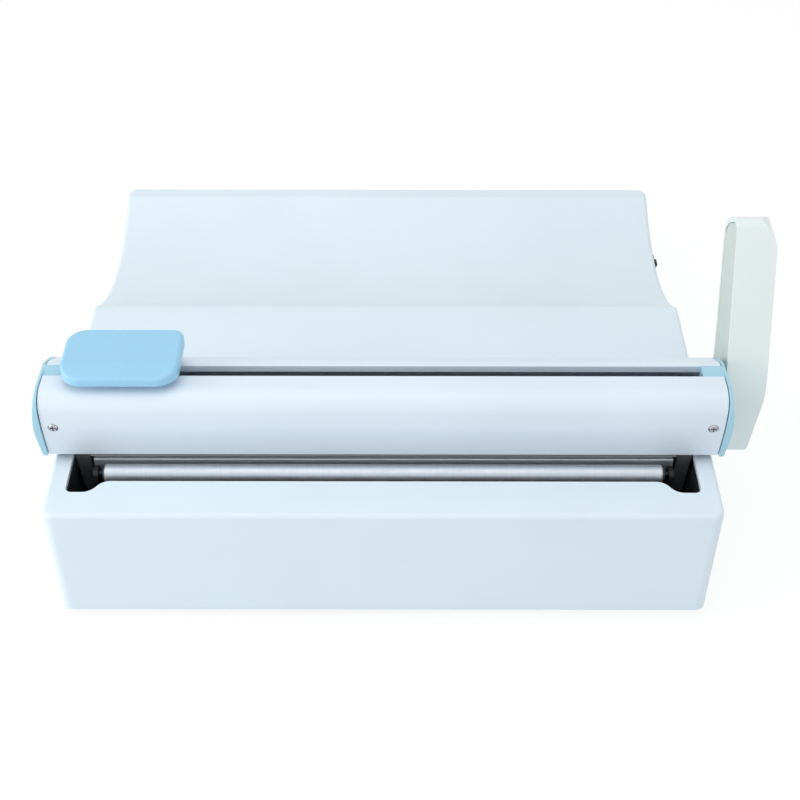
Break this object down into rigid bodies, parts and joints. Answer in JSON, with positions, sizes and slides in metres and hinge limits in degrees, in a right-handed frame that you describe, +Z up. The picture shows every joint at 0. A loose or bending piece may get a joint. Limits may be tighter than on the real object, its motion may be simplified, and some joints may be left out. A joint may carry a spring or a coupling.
{
  "type": "sterilization bag sealer",
  "caption": "Table-top sealer for sterilization pouches: white housing with a roll cradle, lever-operated press bar with a sliding cutter, heated jaw and steel guide roller.",
  "frame": {"origin": "on the table plane under the feet, at the centre of the housing's footprint", "axes": "+X along the press bar towards the lever, +Y from the front face to the roll cradle, +Z up"},
  "size_m": [0.462, 0.3824, 0.2213],
  "materials": {
    "housing_white": "satin, moulded white with a cool tint",
    "lever_white": "satin, moulded warm white",
    "light_blue": "satin, moulded light blue",
    "tray_black": "matt black powder coat",
    "zinc_steel": "zinc plated sheet",
    "roller_steel": "finely turned and polished",
    "shaft_steel": "ground",
    "screw_steel": "nickel plated",
    "blade_steel": "ground and hardened",
    "spring_steel": "drawn wire",
    "jaw_aluminium": "extruded, natural",
    "heater_metal": "milled",
    "nonstick_cloth": "coated glass cloth, smooth",
    "insulation": "mica board",
    "silicone": "matt silicone",
    "foot_rubber": "matt",
    "black_plastic": "fine grain",
    "guide_plastic": "smooth sliding plastic",
    "bush_bronze": "sintered bronze",
    "pin_brass": "nickel plated brass",
    "board_green": "lacquered board",
    "component_dark": "moulded"
  },
  "bodies": {
    "base": {"base_housing": "housing_white", "bottom_plate": "zinc_steel", "rubber_feet": "foot_rubber", "bottom_screws": "screw_steel", "frame_screws": "screw_steel", "well_tray": "tray_black", "side_frame_left": "zinc_steel", "side_frame_right": "zinc_steel", "roller_bracket_left": "tray_black", "roller_bracket_right": "tray_black", "roller_axle": "shaft_steel", "lower_jaw": "jaw_aluminium", "cutting_strip": "guide_plastic", "heater_insulator": "insulation", "heating_bar": "heater_metal", "nonstick_sheet": "nonstick_cloth", "thermostat": "component_dark", "shaft_bush_left": "bush_bronze", "shaft_bush_right": "bush_bronze", "pivot_pin_left": "shaft_steel", "pivot_pin_right": "shaft_steel", "return_spring_left": "spring_steel", "return_spring_right": "spring_steel", "control_board": "board_green", "board_standoffs": "pin_brass", "board_components": "component_dark", "power_inlet": "black_plastic", "inlet_pins": "pin_brass", "inlet_screws": "screw_steel", "switch_housing": "black_plastic"},
    "rocker": {"switch_rocker": "black_plastic"},
    "roller": {"guide_roller": "roller_steel", "roller_plugs": "guide_plastic"},
    "lever": {"cross_shaft": "shaft_steel", "eccentric_left": "shaft_steel", "eccentric_right": "shaft_steel", "shaft_collar": "shaft_steel", "lever_hub": "zinc_steel", "lever_handle": "lever_white", "lever_inner_cover": "lever_white", "lever_screw": "screw_steel"},
    "press_bar": {"press_arm_left": "zinc_steel", "press_arm_right": "zinc_steel", "arm_screws": "screw_steel", "front_beam": "jaw_aluminium", "rear_beam": "jaw_aluminium", "pressure_strip": "silicone", "front_cover": "housing_white", "rear_cover": "housing_white", "end_cap_left": "light_blue", "end_cap_right": "light_blue", "cover_screws": "screw_steel"},
    "cutter": {"cutter_handle": "light_blue", "cutter_carriage": "guide_plastic", "cutter_blade": "blade_steel", "blade_screws": "screw_steel"}
  },
  "joints": [
    {"name": "lever_turn", "type": "hinge", "parent": "base", "child": "lever", "pos_m": [0, -0.079, 0.072], "axis": [1, 0, 0], "range_deg": [0, 90]},
    {"name": "bar_press", "type": "hinge", "parent": "base", "child": "press_bar", "pos_m": [0, 0.001, 0.056], "axis": [1, 0, 0], "range_deg": [0, 2], "deforming": ["return_spring_left", "return_spring_right"]},
    {"name": "cutter_slide", "type": "slide", "parent": "press_bar", "child": "cutter", "axis": [1, 0, 0], "range_m": [0, 0.32]},
    {"name": "roller_spin", "type": "hinge", "parent": "base", "child": "roller", "pos_m": [0, -0.1465, 0.089], "axis": [1, 0, 0], "continuous": true},
    {"name": "power_rocker", "type": "hinge", "parent": "base", "child": "rocker", "pos_m": [0.209, 0.121, 0.0535], "axis": [0, -1, 0], "range_deg": [0, 18]}
  ],
  "couplings": [
    {"joint": "bar_press", "follows": "lever_turn", "ratio": 0.022}
  ]
}
